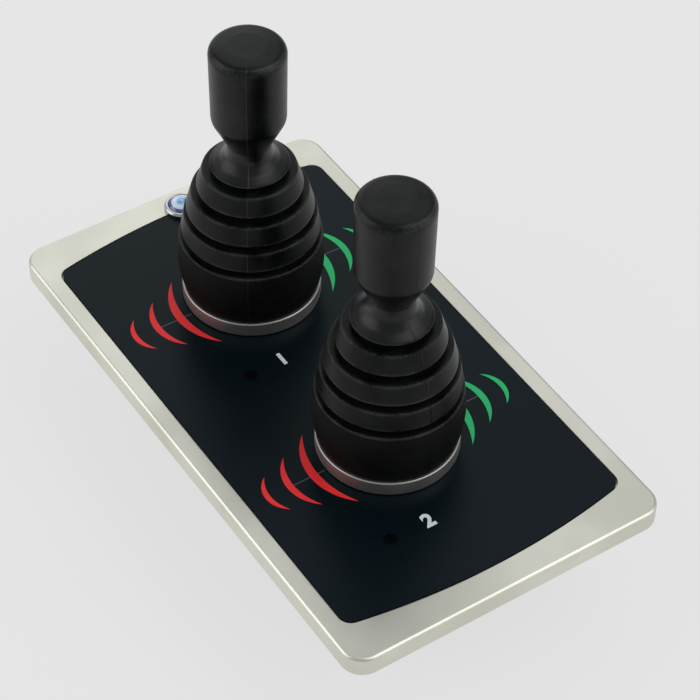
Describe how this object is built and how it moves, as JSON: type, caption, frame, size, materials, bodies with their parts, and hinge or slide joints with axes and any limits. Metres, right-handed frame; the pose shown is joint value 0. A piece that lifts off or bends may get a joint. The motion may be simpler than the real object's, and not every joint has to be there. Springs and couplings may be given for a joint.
{
  "type": "ship_and_marine/thruster_control_panel",
  "caption": "Bow and stern thruster control panel: satin metal bezel, black faceplate, two sprung joysticks in rubber bellows boots and a blue power button.",
  "frame": {"origin": "under the middle of the panel, on the flat back of the rear housing", "axes": "+X is starboard (the green side), +Y is the bow, +Z is out of the dash towards the user"},
  "size_m": [0.085, 0.151, 0.1096],
  "materials": {
    "satin_metal": "satin",
    "overlay_black": "matte",
    "rubber": "matte",
    "housing_black": "matte",
    "frame_plastic": "matte",
    "hub_plastic": "matte",
    "collar_steel": "satin",
    "steel": "satin",
    "spring_steel": "satin",
    "chrome": "polished",
    "magnet": "polished",
    "board_green": "matte",
    "chip_black": "matte",
    "socket_grey": "matte",
    "clear": "gloss",
    "blue_lens": "gloss"
  },
  "bodies": {
    "panel": {"bezel_plate": "satin_metal", "faceplate_overlay": "overlay_black", "dash_gasket": "rubber", "rear_housing": "housing_black", "circuit_board": "board_green", "control_chip": "chip_black", "buzzer": "chip_black", "bus_socket": "socket_grey", "power_button_ring": "chrome", "power_button_nut": "steel", "power_button_switch": "chip_black", "power_button_spring": "spring_steel", "mounting_stud_bow_port": "steel", "stud_nut_bow_port": "steel", "housing_screw_bow_port": "steel", "board_screw_bow_port": "steel", "bow_tilt_sensor_port": "chip_black", "mounting_stud_bow_starboard": "steel", "stud_nut_bow_starboard": "steel", "housing_screw_bow_starboard": "steel", "board_screw_bow_starboard": "steel", "bow_tilt_sensor_starboard": "chip_black", "frame_screw_bow_1": "steel", "frame_screw_bow_2": "steel", "status_light_pipe_bow": "clear", "bow_collar_ring": "collar_steel", "bow_boot": "rubber", "bow_joystick_frame": "frame_plastic", "bow_pivot_pin": "steel", "bow_pin_clip": "steel", "bow_centring_spring": "spring_steel", "mounting_stud_stern_port": "steel", "stud_nut_stern_port": "steel", "housing_screw_stern_port": "steel", "board_screw_stern_port": "steel", "stern_tilt_sensor_port": "chip_black", "mounting_stud_stern_starboard": "steel", "stud_nut_stern_starboard": "steel", "housing_screw_stern_starboard": "steel", "board_screw_stern_starboard": "steel", "stern_tilt_sensor_starboard": "chip_black", "frame_screw_stern_1": "steel", "frame_screw_stern_2": "steel", "status_light_pipe_stern": "clear", "stern_collar_ring": "collar_steel", "stern_boot": "rubber", "stern_joystick_frame": "frame_plastic", "stern_pivot_pin": "steel", "stern_pin_clip": "steel", "stern_centring_spring": "spring_steel"},
    "bow_joystick": {"bow_lever_hub": "hub_plastic", "bow_lever_shaft": "steel", "bow_magnet": "magnet", "bow_grip": "rubber"},
    "stern_joystick": {"stern_lever_hub": "hub_plastic", "stern_lever_shaft": "steel", "stern_magnet": "magnet", "stern_grip": "rubber"},
    "power_button": {"power_button_lens": "blue_lens"}
  },
  "joints": [
    {"name": "bow_joystick_tilt", "type": "hinge", "parent": "panel", "child": "bow_joystick", "pos_m": [0, 0.0351, 0.02], "axis": [0, 1, 0], "range_deg": [-20, 20], "stiffness_Nm_per_rad": 0.35, "deforming": ["bow_boot", "bow_centring_spring"]},
    {"name": "stern_joystick_tilt", "type": "hinge", "parent": "panel", "child": "stern_joystick", "pos_m": [0, -0.0246, 0.02], "axis": [0, 1, 0], "range_deg": [-20, 20], "stiffness_Nm_per_rad": 0.35, "deforming": ["stern_boot", "stern_centring_spring"]},
    {"name": "power_button_press", "type": "slide", "parent": "panel", "child": "power_button", "axis": [0, 0, -1], "range_m": [0, 0.0008], "stiffness_N_per_m": 900, "springref_m": -0.001, "deforming": ["power_button_spring"]}
  ]
}
